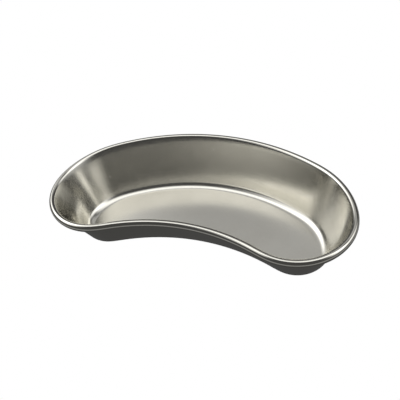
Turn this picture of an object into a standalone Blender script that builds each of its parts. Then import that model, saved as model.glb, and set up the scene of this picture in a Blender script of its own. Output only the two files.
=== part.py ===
"""Kidney dish: one deep-drawn stainless sheet with a rolled rim, and the stiffening wire inside the roll.

Metres, +Z up. The origin is on the resting plane, under the middle of the bounding box. +X runs along the
length and +Y points to the convex side, so the concave waist faces -Y.
"""

import math

import bmesh
import bpy
import numpy as np

# Driving dimensions
LENGTH = 0.200          # over the rolled rim, end to end
HEIGHT = 0.0365         # from the resting plane to the top of the rim
SHEET = 0.0007          # thickness of the sheet
BACK_RADIUS = 0.142     # rim centreline, convex side
SHOULDER_RADIUS = 0.0545    # rim centreline, between the convex side and the end
END_RADIUS = 0.0335     # rim centreline, round the end
WAIST_RADIUS = 0.121    # rim centreline, concave side
SHOULDER_TURN = math.radians(15)    # direction, up from +X, where the shoulder's arc gives way to the end's
BLEND = 0.010           # length of rim over which one arc eases into the next
ROLL_WIDTH = 0.0044     # rolled rim, across
ROLL_HEIGHT = 0.0056    # rolled rim, top to bottom
ROLL_END = math.radians(-138)   # direction in which the roll's free edge faces, 0 being straight out
FLOOR_INSET = 0.0194    # from the rim centreline in to the edge of the flat floor
FLOOR_FILLET = 0.007    # outside radius between floor and wall
WIRE_DIAMETER = 0.0022

# Facets
STATIONS = 128          # sections around the dish
FINE = 20               # outline samples between two stations, used for easing the arcs
FILLET_STEPS = 4
ROLL_STEPS = 12
WIRE_SIDES = 10

ROLL_HALF_WIDTH = ROLL_WIDTH / 2 - SHEET / 2     # of the sheet's middle surface
ROLL_HALF_HEIGHT = ROLL_HEIGHT / 2 - SHEET / 2
ROLL_CENTRE = HEIGHT - ROLL_HEIGHT / 2
FILLET_RADIUS = FLOOR_FILLET - SHEET / 2


def clear_scene():
    for item in list(bpy.data.objects):
        bpy.data.objects.remove(item, do_unlink=True)


def arc(centre, radius, start, stop, spacing):
    """Points along an arc, one per spacing, between two directions in radians."""
    steps = max(int(abs(stop - start) * radius / spacing), 2)
    angles = np.linspace(start, stop, steps, endpoint=False)
    return np.column_stack([centre[0] + radius * np.cos(angles), centre[1] + radius * np.sin(angles)])


def tangent_arcs(spacing):
    """The rim centreline as tangent arcs, clockwise from the middle of the convex side."""
    end = (LENGTH / 2 - ROLL_WIDTH / 2 - END_RADIUS, 0)
    step = SHOULDER_RADIUS - END_RADIUS
    shoulder = (end[0] - step * math.cos(SHOULDER_TURN), end[1] - step * math.sin(SHOULDER_TURN))
    back = (0, shoulder[1] - math.sqrt((BACK_RADIUS - SHOULDER_RADIUS) ** 2 - shoulder[0] ** 2))
    waist = (0, end[1] - math.sqrt((WAIST_RADIUS + END_RADIUS) ** 2 - end[0] ** 2))
    back_turn = math.atan2(shoulder[1] - back[1], shoulder[0])
    waist_turn = math.atan2(end[1] - waist[1], end[0])
    right = np.vstack([
        arc(back, BACK_RADIUS, math.pi / 2, back_turn, spacing),
        arc(shoulder, SHOULDER_RADIUS, back_turn, SHOULDER_TURN, spacing),
        arc(end, END_RADIUS, SHOULDER_TURN, waist_turn - math.pi, spacing),
        arc(waist, WAIST_RADIUS, waist_turn, math.pi / 2, spacing),
    ])
    waist_middle = [[0, waist[1] + WAIST_RADIUS]]
    left = right[:0:-1] * (-1, 1)
    return np.vstack([right, waist_middle, left])


def evenly_spaced(points, count):
    """The closed outline again, with its points at equal distances along it."""
    closed = np.vstack([points, points[:1]])
    along = np.concatenate([[0], np.cumsum(np.linalg.norm(np.diff(closed, axis=0), axis=1))])
    wanted = np.linspace(0, along[-1], count, endpoint=False)
    return np.column_stack([np.interp(wanted, along, closed[:, axis]) for axis in (0, 1)]), along[-1]


def eased(points, perimeter):
    """A sliding mean over BLEND of the rim, which turns each step in curvature into a ramp."""
    reach = int(BLEND / perimeter * len(points) / 2)
    return sum(np.roll(points, shift, axis=0) for shift in range(-reach, reach + 1)) / (2 * reach + 1)


def rim_line():
    """Stations on the rim centreline and their outward directions, centred on the bounding box."""
    points, perimeter = evenly_spaced(tangent_arcs(spacing=0.0001), STATIONS * FINE)
    points = eased(eased(points, perimeter), perimeter)
    points *= (LENGTH - ROLL_WIDTH) / np.ptp(points[:, 0])
    points[:, 1] -= (points[:, 1].max() + points[:, 1].min()) / 2
    ahead = np.roll(points, -1, axis=0) - np.roll(points, 1, axis=0)
    ahead /= np.linalg.norm(ahead, axis=1)[:, None]
    outward = np.column_stack([-ahead[:, 1], ahead[:, 0]])
    return points[::FINE], outward[::FINE]


def roll_point(direction):
    """The point of the roll's oval that faces a direction, relative to the roll's centre."""
    across = ROLL_HALF_WIDTH ** 2 * math.cos(direction)
    up = ROLL_HALF_HEIGHT ** 2 * math.sin(direction)
    reach = math.hypot(ROLL_HALF_WIDTH * math.cos(direction), ROLL_HALF_HEIGHT * math.sin(direction))
    return across / reach, up / reach, reach


def wall_lean():
    """Lean from vertical at which the wall is tangent to both the floor's fillet and the roll."""
    low, high = 0.0, math.pi / 3
    rise = ROLL_CENTRE - FLOOR_FILLET
    while high - low > 1e-9:
        lean = (low + high) / 2
        reach = roll_point(math.pi - lean)[2]
        spare = FLOOR_INSET * math.cos(lean) - rise * math.sin(lean) - reach - FILLET_RADIUS
        low, high = (lean, high) if spare > 0 else (low, lean)
    return lean


def sheet_section():
    """Closed section of the sheet, as (out, up) pairs: up its outer face, then back down its inner face."""
    lean = wall_lean()
    path = []
    for turn in np.linspace(-math.pi / 2, -lean, FILLET_STEPS + 1):
        facing = (math.cos(turn), math.sin(turn))
        out, up = FILLET_RADIUS * facing[0] - FLOOR_INSET, FILLET_RADIUS * facing[1] + FLOOR_FILLET
        path.append((out, up, facing))
    for turn in np.linspace(math.pi - lean, ROLL_END, ROLL_STEPS + 1):
        across, up, _ = roll_point(turn)
        path.append((across, ROLL_CENTRE + up, (-math.cos(turn), -math.sin(turn))))
    half = SHEET / 2
    outer = [(out + half * facing[0], up + half * facing[1]) for out, up, facing in path]
    inner = [(out - half * facing[0], up - half * facing[1]) for out, up, facing in path]
    return outer + inner[::-1]


def swept(name, section, points, outward, floor):
    """Mesh that carries a closed section round the rim line. With a floor, its two ends are capped across."""
    mesh = bpy.data.meshes.new(name)
    bm = bmesh.new()
    rings = []
    for point, out in zip(points, outward):
        rings.append([bm.verts.new((point[0] + out[0] * n, point[1] + out[1] * n, up)) for n, up in section])
    size = len(section)
    sides = size - 1 if floor else size
    for here, after in zip(rings, rings[1:] + rings[:1]):
        for i in range(sides):
            j = (i + 1) % size
            bm.faces.new((here[i], here[j], after[j], after[i]))
    if floor:
        bm.faces.new([ring[0] for ring in rings])
        bm.faces.new([ring[-1] for ring in reversed(rings)])
    bmesh.ops.recalc_face_normals(bm, faces=bm.faces)
    bm.to_mesh(mesh)
    bm.free()
    mesh.shade_smooth()
    mesh.set_sharp_from_angle(angle=math.radians(40))
    return mesh


def steel(name, colour, roughness):
    material = bpy.data.materials.new(name)
    material.use_nodes = True
    shader = material.node_tree.nodes["Principled BSDF"]
    shader.inputs["Base Color"].default_value = (*colour, 1)
    shader.inputs["Metallic"].default_value = 1
    shader.inputs["Roughness"].default_value = roughness
    return material


def satin_steel():
    return steel("satin_stainless", (0.60, 0.59, 0.56), 0.24)


def drawn_wire():
    return steel("drawn_wire", (0.50, 0.50, 0.49), 0.38)


def add_piece(name, mesh, material):
    mesh.materials.append(material)
    piece = bpy.data.objects.new(name, mesh)
    bpy.context.scene.collection.objects.link(piece)


def dish_shell(points, outward):
    """Floor, fillet, drafted wall and rolled rim, all one sheet."""
    mesh = swept("dish_shell", sheet_section(), points, outward, floor=True)
    add_piece("dish_shell", mesh, satin_steel())


def rim_wire(points, outward):
    """Closed ring of round wire, held in the roll with clearance all round."""
    turns = [2 * math.pi * side / WIRE_SIDES for side in range(WIRE_SIDES)]
    radius = WIRE_DIAMETER / 2
    circle = [(radius * math.cos(turn), ROLL_CENTRE + radius * math.sin(turn)) for turn in turns]
    mesh = swept("rim_wire", circle, points, outward, floor=False)
    add_piece("rim_wire", mesh, drawn_wire())


def main():
    clear_scene()
    points, outward = rim_line()
    dish_shell(points, outward)
    rim_wire(points, outward)


main()
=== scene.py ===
import math

import bpy
import numpy as np
from mathutils import Matrix, Vector


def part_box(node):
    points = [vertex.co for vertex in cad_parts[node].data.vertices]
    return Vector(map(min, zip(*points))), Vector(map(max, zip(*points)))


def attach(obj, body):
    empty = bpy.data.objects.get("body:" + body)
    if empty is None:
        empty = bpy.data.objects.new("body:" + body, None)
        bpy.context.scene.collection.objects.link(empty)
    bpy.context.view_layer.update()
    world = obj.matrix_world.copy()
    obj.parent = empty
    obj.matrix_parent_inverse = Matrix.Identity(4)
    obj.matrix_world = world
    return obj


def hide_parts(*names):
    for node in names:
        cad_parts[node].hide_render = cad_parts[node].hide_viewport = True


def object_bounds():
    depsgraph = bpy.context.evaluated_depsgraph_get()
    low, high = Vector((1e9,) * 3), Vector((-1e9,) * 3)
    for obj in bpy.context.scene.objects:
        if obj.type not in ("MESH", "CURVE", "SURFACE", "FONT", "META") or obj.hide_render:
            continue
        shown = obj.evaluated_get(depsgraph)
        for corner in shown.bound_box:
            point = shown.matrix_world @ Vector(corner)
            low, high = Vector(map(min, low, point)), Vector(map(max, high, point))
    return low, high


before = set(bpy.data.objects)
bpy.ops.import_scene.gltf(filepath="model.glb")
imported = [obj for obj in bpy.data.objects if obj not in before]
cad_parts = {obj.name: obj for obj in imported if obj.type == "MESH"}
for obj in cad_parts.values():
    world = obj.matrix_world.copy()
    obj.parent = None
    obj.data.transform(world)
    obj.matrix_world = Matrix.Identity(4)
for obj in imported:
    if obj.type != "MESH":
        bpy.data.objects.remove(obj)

CAD_LOW, CAD_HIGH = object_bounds()
SHELL_LOW, SHELL_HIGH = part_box("dish_shell")
WIRE_LOW, WIRE_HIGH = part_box("rim_wire")

# The dish, in metres. Overall sizes come from the frame, and these shape what lies between them.
LENGTH = SHELL_HIGH[0] - SHELL_LOW[0]
WIDTH = SHELL_HIGH[1] - SHELL_LOW[1]
HEIGHT = SHELL_HIGH[2] - SHELL_LOW[2]
SHEET = 0.0007                      # thickness of the sheet
BACK_RADIUS = 0.142                 # rim centreline, convex side
SHOULDER_RADIUS = 0.0545            # rim centreline, between the convex side and the end
END_RADIUS = 0.0335                 # rim centreline, round the end
WAIST_RADIUS = 0.121                # rim centreline, concave side
SHOULDER_TURN = math.radians(15)    # direction, up from +X, where the shoulder's arc gives way to the end's
BLEND = 0.010                       # length of rim over which one arc eases into the next
ROLL_WIDTH = 0.0044                 # rolled rim, across
ROLL_HEIGHT = 0.0056                # rolled rim, top to bottom
ROLL_END = math.radians(-138)       # direction in which the roll's free edge faces, 0 being straight out
FLOOR_INSET = 0.0194                # from the rim centreline in to the edge of the flat floor
FLOOR_FILLET = 0.007                # outside radius between floor and wall
WIRE_DIAMETER = WIRE_HIGH[2] - WIRE_LOW[2]

# How finely it is drawn.
STATIONS = 256                      # sections around the dish
FINE = 8                            # outline samples between two stations, used for easing the arcs
FILLET_STEPS = 16
WALL_STEPS = 10
ROLL_STEPS = 24
WIRE_SIDES = 20
FLOOR_RINGS = (0.0004, 0.0012, 0.0030)    # rings of the floor, by distance in from its edge
LEAN_TOLERANCE = 1e-9               # radians

ROLL_HALF_WIDTH = ROLL_WIDTH / 2 - SHEET / 2
ROLL_HALF_HEIGHT = ROLL_HEIGHT / 2 - SHEET / 2
ROLL_CENTRE = HEIGHT - ROLL_HEIGHT / 2
FILLET_RADIUS = FLOOR_FILLET - SHEET / 2


# ---------------------------------------------------------------- outline and section

def arc(centre, radius, start, stop, spacing):
    """Points along an arc, one per spacing, between two directions in radians."""
    steps = max(int(abs(stop - start) * radius / spacing), 2)
    angles = np.linspace(start, stop, steps, endpoint=False)
    return np.column_stack([centre[0] + radius * np.cos(angles), centre[1] + radius * np.sin(angles)])


def tangent_arcs(spacing):
    """The rim centreline as tangent arcs, clockwise from the middle of the convex side."""
    end = (LENGTH / 2 - ROLL_WIDTH / 2 - END_RADIUS, 0)
    step = SHOULDER_RADIUS - END_RADIUS
    shoulder = (end[0] - step * math.cos(SHOULDER_TURN), end[1] - step * math.sin(SHOULDER_TURN))
    back = (0, shoulder[1] - math.sqrt((BACK_RADIUS - SHOULDER_RADIUS) ** 2 - shoulder[0] ** 2))
    waist = (0, end[1] - math.sqrt((WAIST_RADIUS + END_RADIUS) ** 2 - end[0] ** 2))
    back_turn = math.atan2(shoulder[1] - back[1], shoulder[0])
    waist_turn = math.atan2(end[1] - waist[1], end[0])
    right = np.vstack([
        arc(back, BACK_RADIUS, math.pi / 2, back_turn, spacing),
        arc(shoulder, SHOULDER_RADIUS, back_turn, SHOULDER_TURN, spacing),
        arc(end, END_RADIUS, SHOULDER_TURN, waist_turn - math.pi, spacing),
        arc(waist, WAIST_RADIUS, waist_turn, math.pi / 2, spacing),
    ])
    waist_middle = [[0, waist[1] + WAIST_RADIUS]]
    return np.vstack([right, waist_middle, right[:0:-1] * (-1, 1)])


def evenly_spaced(points, count):
    """The closed outline again, with its points at equal distances along it, and its perimeter."""
    closed = np.vstack([points, points[:1]])
    along = np.concatenate([[0], np.cumsum(np.linalg.norm(np.diff(closed, axis=0), axis=1))])
    wanted = np.linspace(0, along[-1], count, endpoint=False)
    return np.column_stack([np.interp(wanted, along, closed[:, axis]) for axis in (0, 1)]), along[-1]


def eased(points, perimeter):
    """A sliding mean over BLEND of the rim, which turns each step in curvature into a ramp."""
    reach = int(BLEND / perimeter * len(points) / 2)
    return sum(np.roll(points, shift, axis=0) for shift in range(-reach, reach + 1)) / (2 * reach + 1)


def rim_line():
    """Stations on the rim centreline and their outward directions, fitted to the CAD shell's box."""
    points, perimeter = evenly_spaced(tangent_arcs(spacing=0.00005), STATIONS * FINE)
    points = eased(eased(points, perimeter), perimeter)
    for axis, size in ((0, LENGTH), (1, WIDTH)):
        points[:, axis] -= (points[:, axis].max() + points[:, axis].min()) / 2
        points[:, axis] *= (size - ROLL_WIDTH) / np.ptp(points[:, axis])
        points[:, axis] += (SHELL_HIGH[axis] + SHELL_LOW[axis]) / 2
    ahead = np.roll(points, -1, axis=0) - np.roll(points, 1, axis=0)
    ahead /= np.linalg.norm(ahead, axis=1)[:, None]
    outward = np.column_stack([-ahead[:, 1], ahead[:, 0]])
    return points[::FINE], outward[::FINE]


def roll_point(direction):
    """The point of the roll's oval that faces a direction, and how far the oval reaches that way.

    Both are measured from the roll's centre.
    """
    across = ROLL_HALF_WIDTH ** 2 * math.cos(direction)
    up = ROLL_HALF_HEIGHT ** 2 * math.sin(direction)
    reach = math.hypot(ROLL_HALF_WIDTH * math.cos(direction), ROLL_HALF_HEIGHT * math.sin(direction))
    return across / reach, up / reach, reach


def wall_lean():
    """Lean from vertical at which the wall is tangent to both the floor's fillet and the roll."""
    low, high = 0.0, math.pi / 3
    rise = ROLL_CENTRE - FLOOR_FILLET
    while high - low > LEAN_TOLERANCE:
        lean = (low + high) / 2
        reach = roll_point(math.pi - lean)[2]
        spare = FLOOR_INSET * math.cos(lean) - rise * math.sin(lean) - reach - FILLET_RADIUS
        low, high = (lean, high) if spare > 0 else (low, lean)
    return lean


def sheet_section():
    """Closed section of the sheet, as (out, up) pairs: up its outer face, then back down its inner face."""
    lean = wall_lean()
    path = []
    for ring in reversed(FLOOR_RINGS):
        path.append((-FLOOR_INSET - ring, SHEET / 2, (0.0, -1.0)))
    for turn in np.linspace(-math.pi / 2, -lean, FILLET_STEPS + 1):
        facing = (math.cos(turn), math.sin(turn))
        out, up = FILLET_RADIUS * facing[0] - FLOOR_INSET, FILLET_RADIUS * facing[1] + FLOOR_FILLET
        path.append((out, up, facing))
    across, up, _ = roll_point(math.pi - lean)
    foot, top, facing = path[-1][:2], (across, ROLL_CENTRE + up), path[-1][2]
    for step in range(1, WALL_STEPS):
        share = step / WALL_STEPS
        path.append((foot[0] + (top[0] - foot[0]) * share, foot[1] + (top[1] - foot[1]) * share, facing))
    for turn in np.linspace(math.pi - lean, ROLL_END, ROLL_STEPS + 1):
        across, up, _ = roll_point(turn)
        path.append((across, ROLL_CENTRE + up, (-math.cos(turn), -math.sin(turn))))
    half = SHEET / 2
    outer = [(out + half * facing[0], up + half * facing[1]) for out, up, facing in path]
    inner = [(out - half * facing[0], up - half * facing[1]) for out, up, facing in path]
    return np.array(outer + inner[::-1])


# ---------------------------------------------------------------- meshes

POLISH_EASE = 5               # section steps over which the satin inside gives way to the polished roll
BUFF_PITCH = 0.00035          # metres between the buffing lines that run round the wall


def swept(name, section, points, outward, floor):
    """Closed mesh that carries a section round the rim line. With a floor, its two ends are capped across.

    Heights under zero are raised to it, so that rounding can't take the underside below the resting plane.
    """
    count, size = len(points), len(section)
    vertices = np.empty((count, size, 3))
    vertices[:, :, :2] = points[:, None, :] + outward[:, None, :] * section[None, :, :1]
    vertices[:, :, 2] = SHELL_LOW[2] + np.maximum(section[None, :, 1], 0)
    index = np.arange(count * size).reshape(count, size)
    after = np.roll(index, -1, axis=0)
    faces = []
    for i in range(size - 1 if floor else size):
        j = (i + 1) % size
        faces += np.column_stack([index[:, i], index[:, j], after[:, j], after[:, i]]).tolist()
    if floor:
        faces.append(index[:, 0].tolist())
        faces.append(index[::-1, -1].tolist())
    mesh = bpy.data.meshes.new(name)
    mesh.from_pydata(vertices.reshape(-1, 3).tolist(), [], faces)
    mesh.validate()
    mesh.shade_smooth()
    piece = bpy.data.objects.new(name, mesh)
    bpy.context.scene.collection.objects.link(piece)
    return piece


def section_marks(section):
    """Three values for each point of the sheet's section.

    They are its polish (0 satin, 1 polished), its wall (0 floor, 1 wall)
    and its distance along the section.
    """
    half = len(section) // 2
    order = np.arange(half)
    roll_start = len(FLOOR_RINGS) + FILLET_STEPS + WALL_STEPS
    over_roll = np.clip((order - roll_start) / POLISH_EASE, 0, 1)
    polish = np.concatenate([np.ones(half), over_roll[::-1]])
    off_floor = np.clip((order - len(FLOOR_RINGS)) / FILLET_STEPS, 0, 1)
    wall = np.concatenate([off_floor, off_floor[::-1]])
    steps = np.linalg.norm(np.diff(section, axis=0), axis=1)
    return polish, wall, np.concatenate([[0], np.cumsum(steps)])


def pressed_dish(points, outward):
    """The sheet, with the marks that its steel uses: polish, wall, and a place in the buffing's pattern."""
    section = sheet_section()
    piece = swept("pressed_dish", section, points, outward, floor=True)
    polish, wall, across = section_marks(section)
    for name, values in (("polish", polish), ("wall", wall)):
        mark = piece.data.attributes.new(name, "FLOAT", "POINT")
        mark.data.foreach_set("value", np.tile(values, STATIONS).astype(np.float32))
    turn = np.repeat(np.arange(STATIONS) * 2 * math.pi / STATIONS, len(section))
    brush = np.column_stack([np.cos(turn), np.sin(turn), np.tile(across / BUFF_PITCH, STATIONS)])
    mark = piece.data.attributes.new("brush", "FLOAT_VECTOR", "POINT")
    mark.data.foreach_set("vector", brush.astype(np.float32).ravel())
    return piece


def stiffening_wire(points, outward):
    """Closed ring of round wire in the middle of the roll."""
    turns = np.linspace(0, 2 * math.pi, WIRE_SIDES, endpoint=False)
    radius = WIRE_DIAMETER / 2
    circle = np.column_stack([radius * np.cos(turns), ROLL_CENTRE + radius * np.sin(turns)])
    return swept("stiffening_wire", circle, points, outward, floor=False)


# ---------------------------------------------------------------- materials

SATIN_ROUGHNESS = 0.19
POLISHED_ROUGHNESS = 0.13
WIRE_ROUGHNESS = (0.32, 0.48)
SCRATCH_ROUGHNESS = 0.07      # added along a scratch
SPECK_ROUGHNESS = 0.10        # added in a speck
STEEL = (0.625, 0.612, 0.562, 1)
STEEL_SHADED = (0.60, 0.585, 0.532, 1)
SPECK_COLOUR = (0.30, 0.28, 0.25, 1)
WIRE_COLOUR = (0.5, 0.5, 0.49, 1)
CLOUD_SHADE = 0.5             # most that a cloud mixes in of the shaded steel
SPECK_SHADE = 0.5             # share of the speck's own colour in a speck
POLISHED_GRAIN = 0.12         # height of the grain on polished steel, against 1 on satin
SCRATCH_DEPTH = 0.8           # against the same 1
SPECK_DEPTH = 1.2             # against the same 1
RELIEF = 0.0000005            # metres that a height of 1 stands for


class Nodes:
    """Short-hand for building a node tree."""

    def __init__(self, tree):
        self.tree = tree

    def add(self, kind, inputs=(), **settings):
        node = self.tree.nodes.new(kind)
        for key, value in settings.items():
            setattr(node, key, value)
        for key, value in dict(inputs).items():
            if isinstance(value, bpy.types.NodeSocket):
                self.tree.links.new(value, node.inputs[key])
            else:
                node.inputs[key].default_value = value
        return node

    def math(self, operation, a, b=0.0, c=0.0):
        return self.add("ShaderNodeMath", {0: a, 1: b, 2: c}, operation=operation).outputs[0]

    # A mix node has sockets of the same name for each type that it can mix, so they are given by number.

    def mix(self, share, a, b):
        """Mix of two numbers: the first at a share of 0, and the second at 1."""
        return self.add("ShaderNodeMix", {0: share, 2: a, 3: b}, data_type="FLOAT").outputs[0]

    def tint(self, share, a, b):
        """Mix of two colours: the first at a share of 0, and the second at 1."""
        return self.add("ShaderNodeMix", {0: share, 6: a, 7: b}, data_type="RGBA").outputs[2]

    def ramp(self, value, span, result):
        """Goes from the first result to the second, easing at both, as a value crosses a span."""
        inputs = {0: value, 1: span[0], 2: span[1], 3: result[0], 4: result[1]}
        return self.add("ShaderNodeMapRange", inputs, interpolation_type="SMOOTHSTEP").outputs[0]

    def noise(self, vector, scale, detail, roughness=0.5):
        inputs = {"Vector": vector, "Scale": scale, "Detail": detail, "Roughness": roughness}
        return self.add("ShaderNodeTexNoise", inputs).outputs[0]


def new_material(name):
    material = bpy.data.materials.new(name)
    material.use_nodes = True
    material.node_tree.nodes.clear()
    return material, Nodes(material.node_tree)


def show(nodes, shader, kind):
    """Links a shader to a new output of a material or a world."""
    output = nodes.add(kind)
    nodes.tree.links.new(shader.outputs[0], output.inputs[0])


def varied(nodes, value, pattern, span, share):
    """A value lowered and raised by a share of itself, as a pattern crosses a span."""
    return nodes.math("MULTIPLY", value, nodes.ramp(pattern, span, (1 - share, 1 + share)))


def hairlines(nodes, place, turn, scale, stretch, width):
    """Thin scratches that run mostly along X, 1 on a line and 0 off it: the contours of a stretched noise.

    The turn, in degrees, comes after the stretch. It gives a set its own pattern,
    and not its own direction.
    """
    rotation = (0, 0, math.radians(turn))
    inputs = {"Vector": place, "Rotation": rotation, "Scale": (scale, scale * stretch, scale)}
    stretched = nodes.add("ShaderNodeMapping", inputs).outputs[0]
    fine = nodes.noise(stretched, scale=1.0, detail=1.0)
    broad = nodes.noise(stretched, scale=0.35, detail=1.0)
    off_line = nodes.math("ABSOLUTE", nodes.math("SUBTRACT", fine, 0.5))
    line = nodes.ramp(off_line, span=(0.0, width), result=(1.0, 0.0))
    patches = nodes.ramp(broad, span=(0.52, 0.68), result=(0.0, 1.0))
    return nodes.math("MULTIPLY", line, patches)


def stainless():
    """Pressed steel: satin inside with buffing lines round the wall, polished on the roll and outside."""
    material, nodes = new_material("satin_stainless")
    place = nodes.add("ShaderNodeTexCoord").outputs["Object"]
    polish = nodes.add("ShaderNodeAttribute", attribute_name="polish").outputs["Fac"]
    wall = nodes.add("ShaderNodeAttribute", attribute_name="wall").outputs["Fac"]
    brush = nodes.add("ShaderNodeAttribute", attribute_name="brush").outputs["Vector"]

    clouds = nodes.noise(place, scale=38.0, detail=3.0, roughness=0.55)
    haze = nodes.noise(place, scale=150.0, detail=4.0, roughness=0.6)
    buffing = nodes.noise(brush, scale=1.0, detail=3.0, roughness=0.6)
    lengthwise = nodes.add("ShaderNodeMapping", {"Vector": place, "Scale": (40.0, 2600.0, 40.0)}).outputs[0]
    rolling = nodes.noise(lengthwise, scale=1.0, detail=3.0, roughness=0.6)
    grain = nodes.mix(wall, rolling, buffing)
    longer = hairlines(nodes, place, turn=24, scale=26.0, stretch=5.0, width=0.004)
    shorter = hairlines(nodes, place, turn=-57, scale=34.0, stretch=6.0, width=0.003)
    scratches = nodes.math("MAXIMUM", longer, shorter)
    from_speck = nodes.add("ShaderNodeTexVoronoi", {"Vector": place, "Scale": 95.0}).outputs["Distance"]
    specks = nodes.ramp(from_speck, span=(0.018, 0.034), result=(1.0, 0.0))

    rough = nodes.mix(polish, SATIN_ROUGHNESS, POLISHED_ROUGHNESS)
    rough = varied(nodes, rough, clouds, span=(0.3, 0.7), share=0.08)
    rough = varied(nodes, rough, haze, span=(0.3, 0.7), share=0.05)
    rough = varied(nodes, rough, grain, span=(0.25, 0.75), share=0.07)
    rough = nodes.math("ADD", rough, nodes.math("MULTIPLY", scratches, SCRATCH_ROUGHNESS))
    rough = nodes.math("ADD", rough, nodes.math("MULTIPLY", specks, SPECK_ROUGHNESS))

    cloudy = nodes.ramp(clouds, span=(0.35, 0.7), result=(0.0, CLOUD_SHADE))
    colour = nodes.tint(cloudy, STEEL, STEEL_SHADED)
    colour = nodes.tint(nodes.math("MULTIPLY", specks, SPECK_SHADE), colour, SPECK_COLOUR)

    height = nodes.math("MULTIPLY", grain, nodes.mix(polish, 1.0, POLISHED_GRAIN))
    height = nodes.math("SUBTRACT", height, nodes.math("MULTIPLY", scratches, SCRATCH_DEPTH))
    height = nodes.math("SUBTRACT", height, nodes.math("MULTIPLY", specks, SPECK_DEPTH))
    bump = nodes.add("ShaderNodeBump", {"Strength": 1.0, "Distance": RELIEF, "Height": height}).outputs[0]

    inputs = {"Base Color": colour, "Metallic": 1.0, "Roughness": rough, "Normal": bump}
    show(nodes, nodes.add("ShaderNodeBsdfPrincipled", inputs), "ShaderNodeOutputMaterial")
    return material


def drawn_wire():
    """Dull wire, with fine variation in its roughness."""
    material, nodes = new_material("drawn_wire")
    place = nodes.add("ShaderNodeTexCoord").outputs["Object"]
    fine = nodes.noise(place, scale=900.0, detail=3.0)
    rough = nodes.ramp(fine, span=(0.3, 0.7), result=WIRE_ROUGHNESS)
    inputs = {"Base Color": WIRE_COLOUR, "Metallic": 1.0, "Roughness": rough}
    show(nodes, nodes.add("ShaderNodeBsdfPrincipled", inputs), "ShaderNodeOutputMaterial")
    return material


# ---------------------------------------------------------------- studio

# Four softboxes: azimuth, elevation, half width, half height, soft edge and strength. Angles are in
# degrees, with azimuth 0 towards +Y and 90 towards +X. The back of the dish's floor mirrors the softbox
# above, and the rest of the floor mirrors the one behind.
SOFTBOXES = {
    "above": (0, 90, 60, 15, 10, 1.7),
    "behind": (-15, 55, 35, 10, 5, 0.5),
    "left": (-90, 40, 30, 15, 15, 1.9),
    "right": (80, 25, 25, 15, 15, 1.6),
}
BENCH = (-25, 10, 10)         # the bench's far part, seen all round: elevation, half height and soft edge
BENCH_STRENGTH = 0.3
AMBIENT = 0.08
FRONT = 0.001                 # least value to divide by, for directions beside or behind a softbox
BACKDROP = 1.0                # brightness of the studio's floor, and of what the camera sees beyond it
GROUND_REACH = 3.0            # metres from the middle of the studio's floor to its edges
GROUND_DROP = 0.0001          # metres from the underside of the dish down to the studio's floor

CAMERA_AZIMUTH = 152.77       # degrees, like a softbox's
CAMERA_ELEVATION = 46.08
CAMERA_ROLL = -12.32
CAMERA_DISTANCE = 0.3666
CAMERA_TARGET = Vector((-0.0110, 0.0179, CAD_LOW[2]))
CAMERA_LENS = 46.12           # mm
CAMERA_SENSOR = 36.0          # mm


def towards(azimuth, elevation):
    """Unit vector that points to an azimuth and elevation in degrees."""
    turn, rise = math.radians(azimuth), math.radians(elevation)
    return Vector((math.sin(turn) * math.cos(rise), math.cos(turn) * math.cos(rise), math.sin(rise)))


def softbox(nodes, direction, azimuth, elevation, half_width, half_height, soft):
    """How much of a rectangular softbox shows in a direction: 1 inside it, 0 outside.

    Its edge fades over an angle of soft to either side.
    """
    centre = towards(azimuth, elevation)
    across = towards(azimuth + 90, 0)
    upward = across.cross(centre)

    def along(axis):
        product = nodes.add("ShaderNodeVectorMath", {0: direction, 1: axis}, operation="DOT_PRODUCT")
        return product.outputs["Value"]

    ahead = nodes.math("MAXIMUM", along(centre), FRONT)
    share = 1.0
    for axis, half in ((across, half_width), (upward, half_height)):
        off = nodes.math("ABSOLUTE", nodes.math("DIVIDE", along(axis), ahead))
        edge = (math.tan(math.radians(half - soft)), math.tan(math.radians(half + soft)))
        share = nodes.math("MULTIPLY", share, nodes.ramp(off, edge, (1.0, 0.0)))
    return share


def band(nodes, direction, elevation, half_height, soft):
    """How much of a band all round the dish shows in a direction: 1 inside it, 0 outside."""
    up = nodes.add("ShaderNodeSeparateXYZ", {0: direction}).outputs[2]
    above = nodes.math("SUBTRACT", nodes.math("ARCSINE", up), math.radians(elevation))
    edge = (math.radians(half_height - soft), math.radians(half_height + soft))
    return nodes.ramp(nodes.math("ABSOLUTE", above), edge, (1.0, 0.0))


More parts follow.
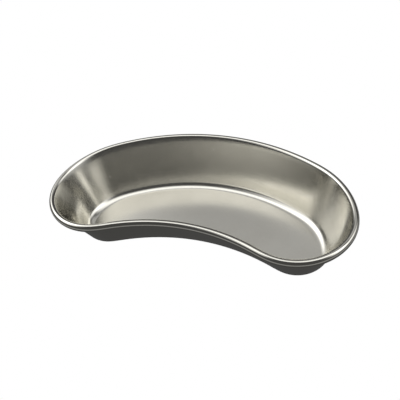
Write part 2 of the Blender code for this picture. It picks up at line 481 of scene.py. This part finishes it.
def studio_world():
    """Softboxes, bench and ambient light, as reflections see them. The camera sees plain white instead."""
    world = bpy.data.worlds.new("studio")
    bpy.context.scene.world = world
    world.use_nodes = True
    world.node_tree.nodes.clear()
    nodes = Nodes(world.node_tree)
    direction = nodes.add("ShaderNodeTexCoord").outputs["Generated"]
    total = AMBIENT
    for *box, strength in SOFTBOXES.values():
        total = nodes.math("MULTIPLY_ADD", softbox(nodes, direction, *box), strength, total)
    total = nodes.math("MULTIPLY_ADD", band(nodes, direction, *BENCH), BENCH_STRENGTH, total)
    seen = nodes.add("ShaderNodeLightPath").outputs["Is Camera Ray"]
    strength = nodes.mix(seen, total, BACKDROP)
    background = nodes.add("ShaderNodeBackground", {"Color": (1, 1, 1, 1), "Strength": strength})
    show(nodes, background, "ShaderNodeOutputWorld")


def pale_floor():
    """The studio's floor. It glows evenly and so takes no shadow, and reflections don't see it."""
    reach, z = GROUND_REACH, CAD_LOW[2] - GROUND_DROP
    mesh = bpy.data.meshes.new("studio_floor")
    corners = [(-reach, -reach, z), (reach, -reach, z), (reach, reach, z), (-reach, reach, z)]
    mesh.from_pydata(corners, [], [(0, 1, 2, 3)])
    floor = bpy.data.objects.new("studio_floor", mesh)
    bpy.context.scene.collection.objects.link(floor)
    material, nodes = new_material("studio_white")
    glow = nodes.add("ShaderNodeEmission", {"Color": (1, 1, 1, 1), "Strength": BACKDROP})
    show(nodes, glow, "ShaderNodeOutputMaterial")
    material.cycles.emission_sampling = "NONE"
    mesh.materials.append(material)
    floor.visible_glossy = False


def photo_camera():
    """The camera at the photo's angle, looking at its target and rolled about that line."""
    data = bpy.data.cameras.new("camera")
    data.lens = CAMERA_LENS
    data.sensor_width = CAMERA_SENSOR
    data.clip_start = 0.01
    camera = bpy.data.objects.new("camera", data)
    bpy.context.scene.collection.objects.link(camera)
    away = towards(CAMERA_AZIMUTH, CAMERA_ELEVATION)
    place = Matrix.Translation(CAMERA_TARGET + away * CAMERA_DISTANCE)
    upright = away.to_track_quat("Z", "Y").to_matrix().to_4x4()
    camera.matrix_world = place @ upright @ Matrix.Rotation(math.radians(CAMERA_ROLL), 4, "Z")
    bpy.context.scene.camera = camera


# ---------------------------------------------------------------- the whole

def stand_in(piece, material, node):
    """Gives a piece its steel, hangs it under the root body, and hides the CAD node that it is drawn for.
    """
    piece.data.materials.append(material)
    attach(piece, "root")
    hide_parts(node)


def main():
    bpy.context.scene.view_settings.view_transform = "Standard"
    points, outward = rim_line()
    stand_in(pressed_dish(points, outward), stainless(), "dish_shell")
    stand_in(stiffening_wire(points, outward), drawn_wire(), "rim_wire")
    studio_world()
    pale_floor()
    photo_camera()


main()
